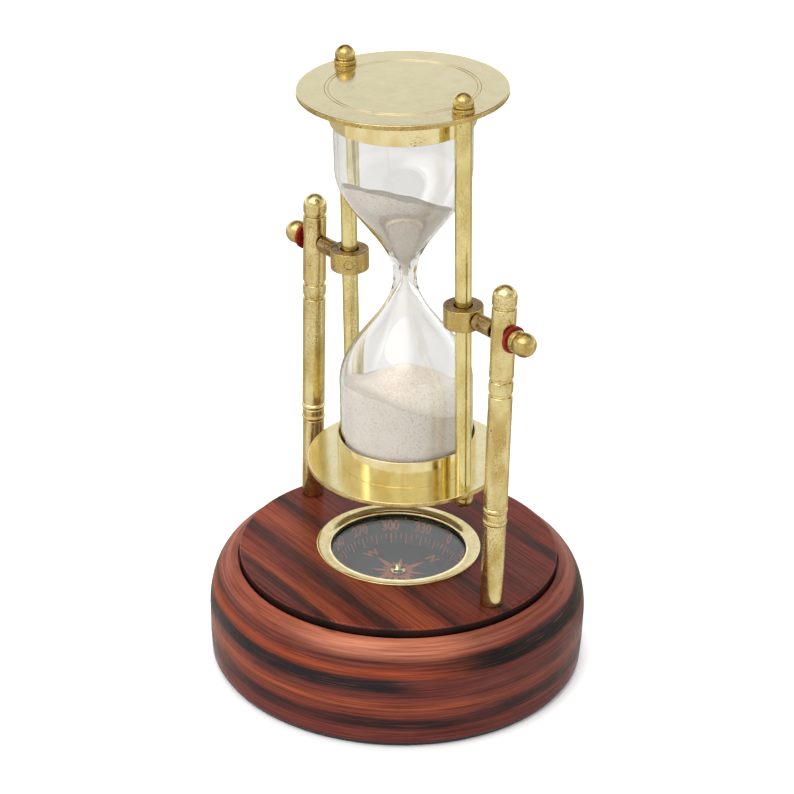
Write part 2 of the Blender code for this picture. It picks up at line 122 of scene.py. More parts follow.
# Hourglass frame, measured from the pivot line
FRAME_UP = 53.86
FRAME_DOWN = 50.56
PLATE_RADIUS = 26.42
PLATE_THICKNESS = 1.26
ENGRAVED_RINGS = (18.41, 19.31)
ENGRAVED_WIDTH = 0.24
ENGRAVED_DEPTH = 0.13
CUP_RADIUS = 18.37
CUP_WALL = 0.5
CUP_HEIGHT = 7.3
GLASS_INSET = 2.2         # cup wall, pad and gaps between a plate's inner face and the glass
GAP = 0.3
ROD_X = 22.66
ROD_RADIUS = 2.15
FINIAL_RADIUS = 2.85
FINIAL_HEIGHT = 4.8
COLLAR_RADIUS = 5.14
COLLAR_HALF_HEIGHT = 2.76
COLLAR_BORE = 2.5
PLUG_RADIUS = 1.15
PLUG_TURN = 42.0          # degrees that a plug sits round the rod from the pivot line
BORE_RADIUS = 1.6
SPACER_RADIUS = 2.26
WASHER_RADIUS = 3.5
WASHER_THICKNESS = 0.8
POST_RADIUS = 3.15
POST_DOME = 3.1
KNOB_BALL_RADIUS = 3.15

# Glass, measured from its neck
NECK_Z = 3.0              # above the pivot line
NECK_RADIUS = 3.0
NECK_BORE = 0.75
BULB_RADIUS = 17.5
BULB_FLARE = 30.0
BULB_WALL = 1.0
BULB_CORNER = 4.0
FILL_HOLE = 1.6
SAND_GAP = 0.06
UPPER_BANK = (0.128, -0.437)  # slopes along X and Y of the upper sand's surface
LOWER_BANK = 0.43         # slope of the lower sand, which banked up on the -Y side
UPPER_SAND_LEVEL = 24.2
UPPER_SAND_FOOT = 0.3
LOWER_SAND_LEVEL = -32.2
LOWER_SAND_PEAK = -22.0
SAND_REPOSE = 0.62
SAND_BLEND = 0.9          # softness of the line where the cone meets the bank
SAND_CRATER = (1.6, 18.0)  # depth and squared reach of the dip over the neck
SAND_HEAP = (0.0, -2.0, 85.0)  # middle of the heap's brown grains and painted shade, from the base's foot

EXTRA_FINE = 192          # steps round the wooden pieces
EDGE_FINE = 160           # steps round the plates and the bezel
FINE = 128                # steps round the other large turned pieces
SMALL = 64                # steps round the small ones
COLLAR_STEPS = 96
CAP_STEPS = 48
HOLE_STEPS = 40
SHARP_ANGLE = math.radians(42.0)
ON_AXIS = 1e-6            # a smaller radius counts as none
LEAST_TURN = math.radians(22.0)  # corners of an outline that turn less than this aren't rounded
SIDES = (("left", -1), ("right", 1))


# ---- materials

def rgb(red, green, blue):
    """A colour given as 0 to 255 display values, in Blender's linear values."""
    def linear(value):
        value /= 255
        return value / 12.92 if value <= 0.04045 else ((value + 0.055) / 1.055) ** 2.4
    return (linear(red), linear(green), linear(blue), 1.0)


WHITE = (1.0, 1.0, 1.0, 1.0)


class Look:
    """A Principled material. Its nodes work on the piece's own coordinates, so they ride with it."""

    def __init__(self, name, values):
        self.material = bpy.data.materials.new(name)
        self.material.use_nodes = True
        self.tree = self.material.node_tree
        self.shader = self.tree.nodes["Principled BSDF"]
        for socket, value in values.items():
            self.shader.inputs[socket].default_value = value
        self.place = self.add("ShaderNodeTexCoord").outputs["Object"]

    def add(self, kind, inputs=None, **settings):
        node = self.tree.nodes.new(kind)
        for setting, value in settings.items():
            setattr(node, setting, value)
        for socket, value in (inputs or {}).items():
            if isinstance(value, bpy.types.NodeSocket):
                self.tree.links.new(value, node.inputs[socket])
            else:
                node.inputs[socket].default_value = value
        return node

    def join(self, output, socket):
        self.tree.links.new(output, self.shader.inputs[socket])

    def noise(self, size, detail=2.0, stretch=(1, 1, 1), place=None):
        """Noise from 0 to 1 whose features are about this many millimetres across."""
        mapping = self.add("ShaderNodeMapping", {"Vector": place or self.place, "Scale": stretch})
        inputs = {"Vector": mapping.outputs[0], "Scale": 1 / (size * MM), "Detail": detail}
        return self.add("ShaderNodeTexNoise", inputs).outputs[0]

    def calc(self, operation, a, b=0.0):
        return self.add("ShaderNodeMath", {0: a, 1: b}, operation=operation).outputs[0]

    def times(self, a, b):
        return self.calc("MULTIPLY", a, b)

    def total(self, first, *others):
        for other in others:
            first = self.calc("ADD", first, other)
        return first

    def wander(self, width, size, detail, stretch, place=None):
        """Noise about 0, of this width from its lowest to its highest value."""
        return self.times(self.calc("SUBTRACT", self.noise(size, detail, stretch, place), 0.5), width)

    def span(self, value, low, high, to_low=0.0, to_high=1.0):
        """The value's stretch from low to high, spread smoothly over another range."""
        inputs = {"Value": value, "From Min": low, "From Max": high, "To Min": to_low, "To Max": to_high}
        node = self.add("ShaderNodeMapRange", inputs, interpolation_type="SMOOTHSTEP")
        return node.outputs[0]

    def ramp(self, value, stops):
        node = self.add("ShaderNodeValToRGB", {"Fac": value})
        elements = node.color_ramp.elements
        while len(elements) < len(stops):
            elements.new(1.0)
        for element, (position, colour) in zip(elements, stops):
            element.position = position
            element.color = colour
        return node.outputs[0]

    def mix(self, share, a, b, blend="MIX"):
        node = self.add("ShaderNodeMix", {0: share, 6: a, 7: b}, data_type="RGBA", blend_type=blend)
        return node.outputs[2]

    def tint(self, tone, share, most, colour):
        """The tone taken towards a colour, at most this much of the way."""
        return self.mix(self.times(share, most), tone, colour)

    def band(self, value, middle, half, soft):
        """1 within half of the middle value, falling off smoothly over its soft edge."""
        offset = self.calc("ABSOLUTE", self.calc("SUBTRACT", value, middle))
        return self.span(offset, half, half + soft, 1.0, 0.0)

    def near(self, point, reach):
        """1 at this point in millimetres, falling off to 0 at its reach."""
        ends = {0: self.place, 1: Vector(point) * MM}
        away = self.add("ShaderNodeVectorMath", ends, operation="DISTANCE").outputs["Value"]
        return self.span(away, 0.3 * reach * MM, reach * MM, 1.0, 0.0)

    def bump(self, *layers):
        """Relief from (height, depth in millimetres) layers."""
        normal = None
        for height, depth in layers:
            inputs = {"Height": height, "Distance": depth * MM, "Strength": 1.0}
            if normal:
                inputs["Normal"] = normal
            normal = self.add("ShaderNodeBump", inputs).outputs[0]
        self.join(normal, "Normal")


def brass(name, clean, warm, stain, dull, wear, mottle=0.4, waves=0.07, scuff=None):
    """Lacquered brass: cloudy colour, fine mottling, brown specks in blotches, hand-polished waves."""
    look = Look(name, {"Metallic": 1.0})
    clean, warm, stain = (*clean, 1), (*warm, 1), (*stain, 1)
    cloud = look.noise(4.5, 3.0, (1, 1, 0.5))
    tone = look.mix(look.span(cloud, 0.35, 0.68), clean, warm)
    fleck = look.span(look.noise(0.34, 3.0), 0.45, 0.62)
    patch = look.span(look.noise(6.0, 2.0, (1, 1, 0.4)), 0.35, 0.65, 0.25, 1.0)
    fleck = look.times(look.times(fleck, patch), mottle)
    tone = look.mix(fleck, tone, rgb(168, 150, 84), "MULTIPLY")
    spots = look.times(look.noise(0.42, 2.0), look.noise(3.2, 4.0))
    spots = look.span(spots, wear, wear + 0.08)
    if scuff:
        crumbs = look.span(look.noise(0.7, 4.0, (0.6, 0.6, 1.6)), 0.52, 0.62)
        spots = look.calc("MAXIMUM", spots, look.times(crumbs, look.near(*scuff)))
    look.join(look.tint(tone, spots, 0.8, stain), "Base Color")
    rough = look.span(look.noise(1.6, 4.0), 0.3, 0.75, dull[0], dull[1])
    look.join(look.total(rough, look.times(spots, 0.25), look.times(fleck, 0.15)), "Roughness")
    look.bump((look.noise(6.0, 1.0, (1, 1, 0.35)), waves), (look.noise(0.5, 3.0), 0.004), (spots, -0.006))
    return look.material


def wood_colours(look, tone, grain, place, wall=None):
    """Finishes a wood look: long fine streaks, open pores, a satin lacquer and a little relief, and, where
    a wall mask is given, painted shade that darkens that wall almost to black.
    """
    fine = look.noise(0.5, 3.0, grain, place)
    fine = look.ramp(fine, [(0.30, rgb(156, 130, 124)), (0.5, rgb(226, 214, 210)), (0.65, WHITE)])
    tone = look.mix(0.9, tone, fine, "MULTIPLY")
    threads = look.span(look.noise(0.24, 2.0, grain, place), 0.57, 0.68)
    tone = look.tint(tone, threads, 0.14, rgb(180, 92, 56))
    pores = look.span(look.noise(0.17, 1.0, grain, place), 0.64, 0.74)
    tone = look.tint(tone, pores, 0.35, rgb(30, 12, 10))
    dust = look.span(look.noise(0.4, 3.0), 0.69, 0.77)
    tone = look.tint(tone, dust, 0.1, rgb(200, 140, 110))
    # Painted shade: the masked wall is darkened almost to black.
    if wall:
        tone = look.tint(tone, wall, 0.93, rgb(9, 4, 4))
    look.join(tone, "Base Color")
    look.join(look.span(look.noise(2.5, 3.0), 0.3, 0.7, 0.34, 0.46), "Roughness")
    look.bump((pores, -0.015), (look.noise(9.0, 2.0), 0.05), (look.noise(0.6, 2.0), 0.003))
    return look.material


LACQUER = {"Coat Weight": 0.3, "Coat Roughness": 0.26, "Specular IOR Level": 0.03}


def rosewood():
    """The base: level sheets of dark heartwood that thicken, fade and step as they go round, with a
    painted highlight on the front of the shoulder.
    """
    look = Look("rosewood_figured", LACQUER)
    parts = look.add("ShaderNodeSeparateXYZ", {0: look.place}).outputs
    level = look.total(
        look.times(parts[2], 1 / MM), look.wander(2.4, 38.0, 1.0, (1, 1, 0.3)),
        look.wander(0.8, 8.0, 2.0, (0.4, 0.4, 1)), look.wander(0.4, 0.8, 2.0, (0.03, 0.03, 1)))
    step = look.span(parts[1], -0.022, -0.010)
    left = look.span(parts[1], -0.034, -0.025, 1.0, 0.0)
    tone = look.ramp(look.times(level, 1 / 32.0), [
        (0.00, rgb(92, 43, 38)), (0.17, rgb(100, 46, 39)), (0.34, rgb(110, 51, 36)),
        (0.40, rgb(140, 68, 40)), (0.48, rgb(100, 47, 40)), (0.62, rgb(94, 43, 36)),
        (0.69, rgb(138, 60, 30)), (0.76, rgb(104, 48, 36)), (0.84, rgb(140, 74, 54)),
        (0.90, rgb(150, 84, 62))])
    # Painted highlight: the upper shoulder near the front is lightened towards pale salmon, where light
    # from above would glint on the lacquer.
    painted_highlight = look.times(look.near((35.9, -30.4, 27.5), 34.0), look.span(level, 24.3, 27.4))
    tone = look.tint(tone, painted_highlight, 0.64, rgb(198, 127, 96))
    tone = look.tint(tone, step, 0.5, rgb(88, 44, 42))
    charcoal = rgb(32, 24, 29)
    lower = look.calc("SUBTRACT", level, look.times(step, 1.3))
    drift = look.span(look.noise(26.0, 1.0, (1, 1, 0.2)), 0.35, 0.6, 0.7, 1.0)
    foot = look.times(look.band(lower, 7.3, 1.0, 1.3), drift)
    middle = look.times(look.band(level, 18.6, 1.2, 1.3), left)
    patch = look.span(look.noise(14.0), 0.5, 0.66)
    patch = look.times(look.band(level, 15.4, 0.2, 0.9), patch)
    crown = look.times(look.band(level, 24.8, 0.1, 1.7), 0.35)
    thick = look.times(look.band(level, 23.4, 1.5, 1.5), look.span(parts[1], -0.032, -0.007))
    tone = look.tint(tone, foot, 0.85, charcoal)
    tone = look.tint(tone, middle, 0.95, rgb(23, 22, 28))
    tone = look.tint(tone, patch, 0.6, charcoal)
    tone = look.mix(look.calc("MAXIMUM", crown, thick), tone, rgb(13, 6, 7))
    return wood_colours(look, tone, (0.02, 0.02, 1), look.place)


def rosewood_disc():
    """The raised disc: straight grain nearly along X, with dark streaks across its width, and painted
    shade on its side wall.
    """
    look = Look("rosewood_straight", LACQUER)
    turn = look.add("ShaderNodeMapping", {"Vector": look.place, "Rotation": (0, 0, math.radians(3.5))})
    place = turn.outputs[0]
    parts = look.add("ShaderNodeSeparateXYZ", {0: place}).outputs
    across = look.total(
        look.times(parts[1], 1 / MM), look.wander(3.0, 13.0, 2.0, (0.25, 1, 1), place),
        look.wander(0.6, 0.9, 2.0, (0.03, 1, 1), place))
    share = look.calc("ADD", look.times(across, 1 / 90.0), 0.5)
    brown, red, orange = rgb(90, 40, 33), rgb(106, 42, 29), rgb(134, 62, 38)
    tone = look.ramp(share, [
        (0.05, brown), (0.10, orange), (0.15, red), (0.22, brown), (0.26, orange), (0.31, orange),
        (0.37, brown), (0.44, red), (0.52, brown), (0.60, red), (0.72, brown), (0.84, red)])
    long = look.span(look.noise(24.0, 2.0, (0.5, 1, 1), place), 0.35, 0.6, 0.45, 1.0)
    for middle, half in ((-38.0, 0.5), (-27.3, 1.0), (-11.3, 0.6), (14.0, 0.4), (31.0, 1.0)):
        streak = look.times(look.band(across, middle, half, 1.6), long)
        tone = look.tint(tone, streak, 0.85, rgb(38, 20, 20))
    right = look.times(look.band(across, 3.6, 0.7, 1.4), look.span(parts[0], 0.014, 0.022))
    tone = look.tint(tone, right, 0.8, rgb(38, 20, 20))
    # Painted shade: the disc's side wall below its rounded top edge, which faces the narrow gap to the
    # base's recess, is darkened almost to black.
    wall = look.span(parts[2], (DISC_TOP - 0.75) * MM, (DISC_TOP - 0.45) * MM, 1.0, 0.0)
    return wood_colours(look, tone, (0.03, 1, 1), place, wall)


def glass():
    look = Look("blown_glass", {"Base Color": (0.99, 0.99, 0.985, 1), "Transmission Weight": 1.0,
                                "IOR": 1.43, "Roughness": 0.0, "Coat Weight": 0.5})
    look.bump((look.noise(14.0, 1.0), 0.04))
    return look.material


def window_glass():
    look = Look("window_glass", {"Base Color": (0.95, 0.97, 0.98, 1), "Transmission Weight": 1.0,
                                 "IOR": 1.5})
    look.join(look.span(look.noise(3.0), 0.4, 0.7, 0.0, 0.02), "Roughness")
    return look.material


def sand():
    look = Look("fine_sand", {"Roughness": 0.95, "Specular IOR Level": 0.1})
    grains = look.add("ShaderNodeTexVoronoi", {"Vector": look.place, "Scale": 1 / (0.2 * MM)})
    value = look.add("ShaderNodeSeparateColor", {0: grains.outputs["Color"]}).outputs[0]
    tone = look.ramp(value, [(0.0, rgb(248, 237, 222)), (0.5, rgb(252, 246, 235)),
                             (0.9, rgb(253, 249, 240)), (0.955, rgb(224, 202, 178)),
                             (1.0, rgb(198, 166, 138))])
    cloud = look.span(look.noise(4.0, 3.0), 0.35, 0.75, 0.0, 0.25)
    tone = look.mix(cloud, tone, rgb(238, 220, 204))
    # Brown grains on the lower sand's heap, which are also painted shade: they darken the heap's top,
    # where the light from above falls brightest.
    grains_and_shade = look.span(look.noise(0.5, 3.0), 0.42, 0.62, 0.25, 1.0)
    grains_and_shade = look.times(look.near(SAND_HEAP, 17.0), grains_and_shade)
    tone = look.tint(tone, grains_and_shade, 0.5, rgb(210, 184, 160))
    look.join(tone, "Base Color")
    look.bump((grains.outputs["Distance"], -0.02), (look.noise(1.4, 3.0), 0.06))
    return look.material


def matt(name, one, other, size, roughness, relief, values=None):
    """A plain dull surface whose colour wanders between two tones."""
    look = Look(name, values or {})
    fleck = look.noise(size, 4.0)
    look.join(look.ramp(fleck, [(0.3, rgb(*one)), (0.7, rgb(*other))]), "Base Color")
    look.join(look.span(look.noise(size * 3), 0.3, 0.7, *roughness), "Roughness")
    look.bump((fleck, relief))
    return look.material


CUP_SCUFF = ((16.2, -10.6, 152.4), 3.6)  # place and reach of a stained patch on the top cup's edge
BRASSES = {               # as brass() takes them
    "bright": ((0.90, 0.80, 0.48), (0.78, 0.63, 0.30), (0.22, 0.11, 0.04), (0.07, 0.16), 0.45, 0.2, 0.05,
               CUP_SCUFF),
    "polished": ((0.85, 0.76, 0.40), (0.71, 0.59, 0.25), (0.26, 0.17, 0.06), (0.10, 0.22), 0.40, 0.5),
    "sheet": ((0.88, 0.80, 0.51), (0.87, 0.78, 0.47), (0.45, 0.28, 0.10), (0.12, 0.18), 0.47, 0.15, 0.02),
    "aged": ((0.80, 0.69, 0.37), (0.58, 0.43, 0.16), (0.19, 0.10, 0.04), (0.14, 0.28), 0.36, 0.6, 0.09),
    "turned": ((0.63, 0.48, 0.20), (0.48, 0.34, 0.11), (0.13, 0.07, 0.03), (0.20, 0.34), 0.34, 0.6),
    "raw": ((0.42, 0.29, 0.13), (0.30, 0.19, 0.08), (0.08, 0.045, 0.03), (0.2, 0.36), 0.30, 0.6),
}
DULLS = {                 # as matt() takes them, with the colours as rgb() takes them
    "felt": ((10, 10, 11), (34, 33, 34), 0.35, (0.9, 1.0), 0.25, {"Sheen Weight": 0.4}),
    "fibre": ((98, 8, 5), (132, 18, 12), 0.5, (0.3, 0.45), 0.02, {"Specular IOR Level": 0.25}),
    "enamel": ((22, 23, 26), (34, 35, 38), 0.3, (0.45, 0.6), 0.004),
    "ink": ((212, 110, 56), (238, 146, 88), 0.25, (0.4, 0.6), 0.004),
    "rubber": ((8, 8, 9), (20, 20, 21), 0.4, (0.5, 0.7), 0.01),
    "steel": ((150, 150, 152), (180, 180, 182), 0.4, (0.25, 0.4), 0.004, {"Metallic": 1.0}),
    "magnet": ((84, 84, 88), (108, 108, 112), 0.3, (0.4, 0.6), 0.01, {"Metallic": 0.8}),
    "cork": ((206, 178, 142), (238, 220, 190), 0.8, (0.85, 0.95), 0.15),
}
LOOKS = {
    **{name: brass(name + "_brass_look", *values) for name, values in BRASSES.items()},
    **{name: matt(name + "_look", *values) for name, values in DULLS.items()},
    "rosewood": rosewood(),
    "disc": rosewood_disc(),
    "glass": glass(),
    "window": window_glass(),
    "sand": sand(),
}


# ---- shapes

def rounded(points, fillet, steps=4):
    """The closed outline with its corners rounded. A third number in a point is its own fillet."""
    outline = []
    for index, point in enumerate(points):
        here = Vector(point[:2])
        size = point[2] if len(point) > 2 else fillet
        back = Vector(points[index - 1][:2]) - here
        ahead = Vector(points[(index + 1) % len(points)][:2]) - here
        turn = math.pi - back.angle(ahead)
        if here.x < ON_AXIS or size == 0 or turn < LEAST_TURN:
            outline.append(here)
            continue
        reach = min(size * math.tan(turn / 2), 0.42 * back.length, 0.42 * ahead.length)
        start = here + back.normalized() * reach
        end = here + ahead.normalized() * reach
        if back.length > 5 * reach:
            outline.append(here + back.normalized() * reach * 1.6)
        for step in range(steps + 1):
            t = step / steps
            outline.append(start * (1 - t) ** 2 + here * 2 * t * (1 - t) + end * t * t)
        if ahead.length > 5 * reach:
            outline.append(here + ahead.normalized() * reach * 1.6)
    return outline


def arc(radius_centre, height_centre, radius, height, start, end, count):
    """Points on an ellipse's arc, from start to end in degrees, both ends included."""
    angles = [math.radians(start + (end - start) * i / count) for i in range(count + 1)]
    return [(radius_centre + radius * math.cos(a), height_centre + height * math.sin(a))
            for a in angles]


def bead(low, high, radius, rise, count=8):
    """A convex bulge between two heights, standing out from the radius by the rise."""
    return [(radius + rise * math.sin(math.pi * i / count), low + (high - low) * i / count)
            for i in range(count + 1)]


def ring(inner, outer, low, high):
    return [(inner, low), (outer, low), (outer, high), (inner, high)]


def mirrored(outline, side):
    """The outline turned upside down where side is -1."""
    return [(point[0], side * point[1], *point[2:]) for point in outline]


def mesh_object(name, vertices, faces, place):
    mesh = bpy.data.meshes.new(name)
    mesh.from_pydata([Vector(v) * MM for v in vertices], [], faces)
    mesh.transform(place)
    shape = bmesh.new()
    shape.from_mesh(mesh)
    bmesh.ops.recalc_face_normals(shape, faces=shape.faces[:])
    shape.to_mesh(mesh)
    shape.free()
    mesh.shade_smooth()
    mesh.set_sharp_from_angle(angle=SHARP_ANGLE)
    piece = bpy.data.objects.new(name, mesh)
    bpy.context.scene.collection.objects.link(piece)
    return piece


def lathe(name, points, steps=SMALL, place=Matrix(), fillet=0.12):
    """A solid of revolution about local Z from a closed outline, with rounded corners."""
    vertices = []
    rows = []
    for radius, height in rounded(points, fillet):
        if radius < ON_AXIS:
            rows.append([len(vertices)] * steps)
            vertices.append((0.0, 0.0, height))
            continue
        rows.append(list(range(len(vertices), len(vertices) + steps)))
        for step in range(steps):
            angle = math.tau * step / steps
            vertices.append((radius * math.cos(angle), radius * math.sin(angle), height))
    faces = []
    for row, following in zip(rows, rows[1:] + rows[:1]):
        if row[0] == row[1] and following[0] == following[1]:
            continue
        for step in range(steps):
            after = (step + 1) % steps
            corners = (row[step], row[after], following[after], following[step])
            faces.append(list(dict.fromkeys(corners)))
    return mesh_object(name, vertices, faces, place)


def cut(piece, cutter):
    """Takes the cutter's shape out of the piece's mesh for good."""
    hole = piece.modifiers.new("hole", "BOOLEAN")
    hole.operation = "DIFFERENCE"
    hole.solver = "EXACT"
    hole.object = cutter
    bpy.context.view_layer.update()
    evaluated = piece.evaluated_get(bpy.context.evaluated_depsgraph_get())
    carved = bpy.data.meshes.new_from_object(evaluated)
    piece.modifiers.clear()
    piece.data = carved
    carved.set_sharp_from_angle(angle=SHARP_ANGLE)
    bpy.data.objects.remove(cutter, do_unlink=True)


def cylinder(radius, low, high):
    """The outline of a solid cylinder."""
    return [(0, low), (radius, low), (radius, high), (0, high)]


def drill(piece, radius, start, end, place):
    cut(piece, lathe("drill", cylinder(radius, start, end), HOLE_STEPS, place, 0))


def dress(piece, body, look, *nodes):
    """Gives the piece its material and its body, and hides the CAD nodes that it stands for."""
    piece.data.materials.clear()
    piece.data.materials.append(LOOKS[look])
    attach(piece, body)
    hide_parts(*nodes)


def at(x, y, z):
    return Matrix.Translation(Vector((x, y, z)) * MM)


HOURGLASS = at(0, 0, PIVOT_Z) @ Matrix.Rotation(math.radians(REST_LEAN), 4, "X")


def along_x(side):
    """Turns local Z to +X or -X."""
    return Matrix.Rotation(math.radians(90.0 * side), 4, "Y")


# ---- base

def add_base():
    felt = cylinder(FELT_RADIUS, 0.0, BASE_BOTTOM - SEAT)
    dress(lathe("felt", felt, FINE, fillet=0.25), "base", "felt", "felt_pad")
    shoulder = arc(RECESS_RADIUS + 0.3, SHOULDER_BOTTOM, BASE_RADIUS - RECESS_RADIUS - 0.3,
                   SHOULDER_TOP - SHOULDER_BOTTOM, 0, 90, 28)
    outline = [(0, BASE_BOTTOM), (BASE_RADIUS - 0.5, BASE_BOTTOM, 0.6), (BASE_RADIUS - 0.15, 7.0)]
    outline += shoulder
    outline += [(RECESS_RADIUS, SHOULDER_TOP, 0.25), (RECESS_RADIUS, RECESS_FLOOR),
                (POCKET_RADIUS, RECESS_FLOOR), (POCKET_RADIUS, POCKET_FLOOR), (0, POCKET_FLOOR)]
    dress(lathe("base_turning", outline, EXTRA_FINE), "base", "rosewood", "base_body")
    disc = [(POCKET_RADIUS, RECESS_FLOOR + GAP), (DISC_RADIUS, RECESS_FLOOR + GAP),
            (DISC_RADIUS, DISC_TOP, 0.55), (POCKET_RADIUS, DISC_TOP)]
    dress(lathe("top_disc", disc, EXTRA_FINE), "base", "disc", "base_top_disc")


def add_compass_housing():
    skirt_inner = CASE_RADIUS + GAP
    skirt_outer = skirt_inner + SKIRT_WALL
    flange = DISC_TOP + SEAT
    bezel = [(skirt_inner, SKIRT_BOTTOM), (skirt_outer, SKIRT_BOTTOM), (skirt_outer, flange),
             (BEZEL_RADIUS, flange), (BEZEL_RADIUS, BEZEL_TOP, 0.3)]
    lip = BEZEL_RADIUS - 0.5
    bezel += arc(lip, BEZEL_INNER_TOP, BEZEL_OPENING - lip, BEZEL_TOP - BEZEL_INNER_TOP, 90, 12, 16)
    bezel += [(BEZEL_OPENING, BEZEL_INNER_TOP, 0.08), (BEZEL_OPENING, SEAL_TOP + 0.03),
              (skirt_inner, SEAL_TOP + 0.03)]
    dress(lathe("bezel", bezel, EDGE_FINE, fillet=0.1), "base", "bright", "compass_bezel")
    seal = ring(BEZEL_OPENING - 0.25, CASE_RADIUS, GLASS_TOP + 0.03, SEAL_TOP)
    dress(lathe("seal", seal, FINE, fillet=0.1), "base", "rubber", "compass_seal")
    window = cylinder(CASE_RADIUS - 0.1, GLASS_UNDERSIDE, GLASS_TOP)
    dress(lathe("window", window, FINE, fillet=0.15), "base", "window", "compass_glass")
    inner = CASE_RADIUS - CASE_WALL
    case = [(0, CASE_BOTTOM), (CASE_RADIUS, CASE_BOTTOM), (CASE_RADIUS, CASE_TOP), (inner, CASE_TOP),
            (inner, CASE_FLOOR), (0, CASE_FLOOR)]
    dress(lathe("case", case, FINE), "base", "raw", "compass_case")


CARD_TURN = Matrix.Rotation(math.radians(CARD_NORTH), 4, "Z")


def card_point(heading, radius, height):
    """A point on the card: heading in degrees clockwise from north, seen from above."""
    angle = math.radians(-heading)
    return Vector((radius * math.cos(angle), radius * math.sin(angle), height))


def slope_point(heading, run, lift):
    """A point on the dish's slope, run millimetres down from its rim and lifted off its face."""
    fall = Vector((CARD_FLOOR_RADIUS - CARD_RIM_RADIUS, CARD_FLOOR - CARD_RIM_TOP)).normalized()
    radius = CARD_RIM_RADIUS + fall.x * run + fall.y * lift
    return card_point(heading, radius, CARD_RIM_TOP + fall.y * run - fall.x * lift)


def prism(vertices, faces, lower, upper):
    """Adds a closed plate between a lower and an upper ring of points."""
    first = len(vertices)
    count = len(lower)
    vertices += list(lower) + list(upper)
    faces.append([first + i for i in range(count)])
    faces.append([first + count + i for i in range(count)])
    for i in range(count):
        after = (i + 1) % count
        faces.append([first + i, first + after, first + count + after, first + count + i])


def lettering(text, height):
    """The text's filled faces as points across, up and out, in millimetres, centred on the origin."""
    curve = bpy.data.curves.new("lettering", "FONT")
    curve.body = text
    curve.extrude = 0.5
    curve.resolution_u = 6
    curve.offset = 0.035
    holder = bpy.data.objects.new("lettering", curve)
    bpy.context.scene.collection.objects.link(holder)
    bpy.context.view_layer.update()
    mesh = bpy.data.meshes.new_from_object(holder.evaluated_get(bpy.context.evaluated_depsgraph_get()))
    bpy.data.objects.remove(holder, do_unlink=True)
    points = [v.co.copy() for v in mesh.vertices]
    faces = [list(face.vertices) for face in mesh.polygons]
    low = Vector([min(p[i] for p in points) for i in range(3)])
    high = Vector([max(p[i] for p in points) for i in range(3)])
    middle = (low + high) / 2
    scale = height / (high.y - low.y)
    points = [Vector(((p.x - middle.x) * scale, (p.y - middle.y) * scale, p.z + 0.5)) for p in points]
    return points, faces


def add_scale():
    """The ring of headings on the dish's slope: a tick every 5 degrees and a number every 30."""
    vertices, faces = [], []
    for heading in range(0, 360, 5):
        length, half = SHORT_TICK if heading % 15 else LONG_TICK
        side = math.degrees(half / TICK_RADIUS)
        corners = [(heading - side, TICK_START), (heading + side, TICK_START),
                   (heading + side, TICK_START + length), (heading - side, TICK_START + length)]
        prism(vertices, faces, [slope_point(*corner, INK_FOOT) for corner in corners],
              [slope_point(*corner, INK) for corner in corners])
    for heading in range(0, 360, 30):
        points, parts = lettering(str(heading), NUMERAL_HEIGHT)
        first = len(vertices)
        for point in points:
            around = heading + math.degrees(point.x * NUMERAL_WIDTH / NUMERAL_RADIUS)
            lift = INK_FOOT + (INK - INK_FOOT) * point.z
            vertices.append(slope_point(around, NUMERAL_START - point.y, lift))
        faces += [[first + i for i in part] for part in parts]
    return mesh_object("compass_scale", vertices, faces, CARD_TURN)


def add_rose():
    """The star of sixteen points in the middle of the card, with the four letters outside it."""
    vertices, faces = [], []
    bottom, top = CARD_FLOOR + INK_FOOT, CARD_FLOOR + INK
    for layer, (first, step, length, half) in enumerate(ROSE_POINTS):
        shoulder = math.degrees(math.atan2(half, ROSE_WAIST))
        reach = math.hypot(half, ROSE_WAIST)
        for count in range(round(360 / step)):
            heading = first + step * count
            corners = [(heading, ROSE_HEART), (heading + shoulder, reach), (heading, length),
                       (heading - shoulder, reach)]
            prism(vertices, faces, [card_point(a, r, bottom) for a, r in corners],
                  [card_point(a, r, top + layer * ROSE_LAYER) for a, r in corners])
    for heading, letter in LETTERS:
        points, parts = lettering(letter, LETTER_HEIGHT)
        first = len(vertices)
        outward = card_point(heading, 1.0, 0.0)
        across = card_point(heading + 90, 1.0, 0.0)
        for point in points:
            place = outward * (LETTER_RADIUS + point.y) + across * point.x
            vertices.append(place + Vector((0, 0, bottom + (top - bottom) * point.z)))
        faces += [[first + i for i in part] for part in parts]
    return mesh_object("compass_rose", vertices, faces, CARD_TURN)


def add_compass_card():
    underside = CARD_FLOOR - CARD_THICKNESS
    dish = [(CARD_HOLE, underside), (CARD_FLOOR_RADIUS + 0.3, underside, 0.5),
            (CARD_RIM_RADIUS + 0.34, CARD_RIM_TOP - 0.05, 0.1), (CARD_RIM_RADIUS, CARD_RIM_TOP, 0.1),
            (CARD_FLOOR_RADIUS, CARD_FLOOR, 0.3), (CARD_HOLE, CARD_FLOOR, 0.05)]
    dress(lathe("dial", dish, FINE), "compass_card", "enamel", "compass_card")
    cap = [(1.2, 22.65), (2.2, 22.65, 0.15), (2.2, 23.1, 0.2), (1.35, 23.5, 0.2), (0.9, 24.3, 0.3)]
    cap += arc(0, 24.3, 0.75, 0.45, 10, 90, 5)[:-1]
    cap += [(0, 24.75), (0, 24.05), (0.5, 23.6)]
    dress(lathe("cap", cap, CAP_STEPS, fillet=0.1), "compass_card", "polished", "compass_cap")
    for mark in (add_scale(), add_rose()):
        dress(mark, "compass_card", "ink")


# ---- posts

def notch(low):
    """A square groove round a post, from this height up."""
    return [(2.65, low, 0.08), (2.65, low + 0.5, 0.08)]


